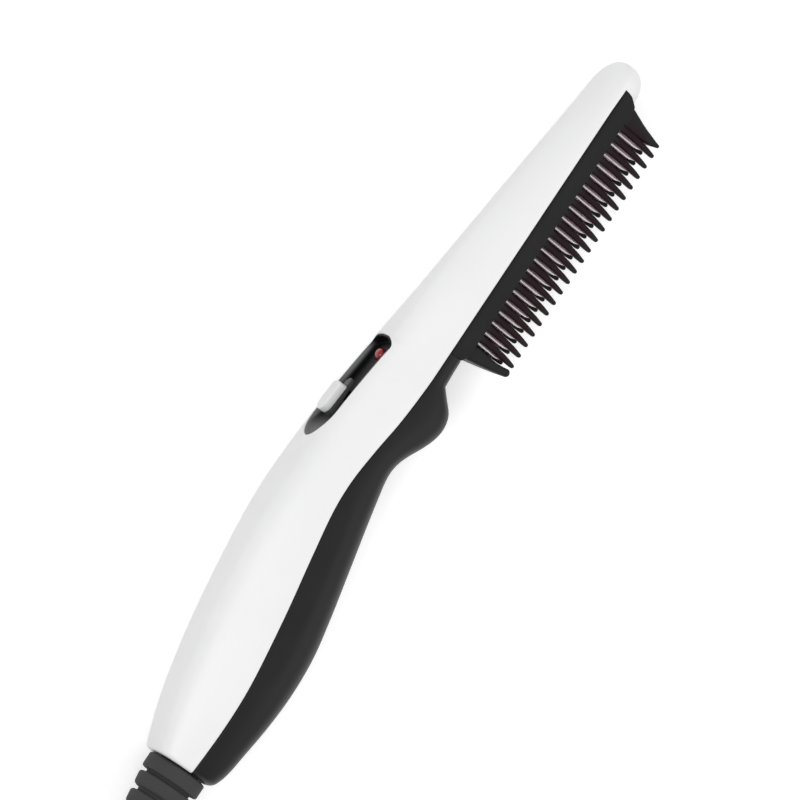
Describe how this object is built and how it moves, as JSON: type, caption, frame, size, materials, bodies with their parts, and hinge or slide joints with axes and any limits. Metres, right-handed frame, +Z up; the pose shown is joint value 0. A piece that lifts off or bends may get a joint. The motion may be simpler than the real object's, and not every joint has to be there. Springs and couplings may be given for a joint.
{
  "type": "hot comb",
  "caption": "Slim corded hot comb: curved handle with a slide switch in its back, straight head with guard teeth over heated fins, and a swivel cord.",
  "frame": {"origin": "under the middle of the comb without its cord, on the surface that it lies on", "axes": "+X along the comb towards the nose, +Y towards the switch side (teeth point to -Y), +Z up, out of the comb's upper side"},
  "size_m": [0.4645, 0.0504, 0.0306],
  "materials": {
    "white_shell": "smooth white plastic with a faint satin sheen",
    "black_shell": "black plastic, satin",
    "black_comb": "heat-proof black plastic with a maroon cast, satin",
    "coated_metal": "pale pink ceramic coating on metal, glossy",
    "bezel": "black plastic, glossy",
    "button": "white plastic",
    "lens": "clear red plastic",
    "led_clear": "clear resin",
    "ceramic": "sintered ceramic",
    "brass": "rolled brass",
    "film": "amber polyimide film",
    "spring_steel": "rolled spring steel",
    "screw_steel": "zinc plated",
    "board": "green solder mask",
    "film_capacitor": "dipped epoxy",
    "resistor": "lacquer",
    "nylon": "natural nylon",
    "switch_plastic": "moulded plastic",
    "red_wire": "silicone sleeve",
    "blue_wire": "silicone sleeve",
    "boot_rubber": "soft black plastic, matt",
    "cord": "soft black sheath, satin",
    "tie": "woven hook-and-loop band",
    "plug": "moulded black plastic, fine grain",
    "nickel": "nickel plate"
  },
  "bodies": {
    "root": {"upper_shell": "white_shell", "lower_shell": "black_shell", "comb_frame": "black_comb", "heating_plate": "coated_metal", "heater_chips": "ceramic", "electrode_strips": "brass", "insulating_sheet": "film", "heater_clamp": "spring_steel", "clamp_screws": "screw_steel", "thermal_fuse": "ceramic", "heater_leads": "red_wire", "circuit_board": "board", "dropper_capacitor": "film_capacitor", "board_resistors": "resistor", "indicator_led": "led_clear", "led_lens": "lens", "switch_bezel": "bezel", "switch_body": "switch_plastic", "case_screws": "screw_steel", "swivel_bush": "nylon", "brush_springs": "brass", "brush_block": "nylon", "supply_leads": "blue_wire", "mains_cord": "cord", "cord_hank": "cord", "cord_tie": "tie", "plug_body": "plug", "plug_pins": "nickel"},
    "button": {"slide_button": "button", "switch_slider": "nylon"},
    "boot": {"strain_relief": "boot_rubber", "swivel_spindle": "boot_rubber", "slip_rings": "brass", "cord_end": "cord"}
  },
  "joints": [
    {"name": "switch_slide", "type": "slide", "parent": "root", "child": "button", "axis": [1, 0, 0], "range_m": [0, 0.003]},
    {"name": "cord_swivel", "type": "hinge", "parent": "root", "child": "boot", "pos_m": [-0.098, -0.0046, 0.0145], "axis": [1, 0, 0], "continuous": true}
  ]
}
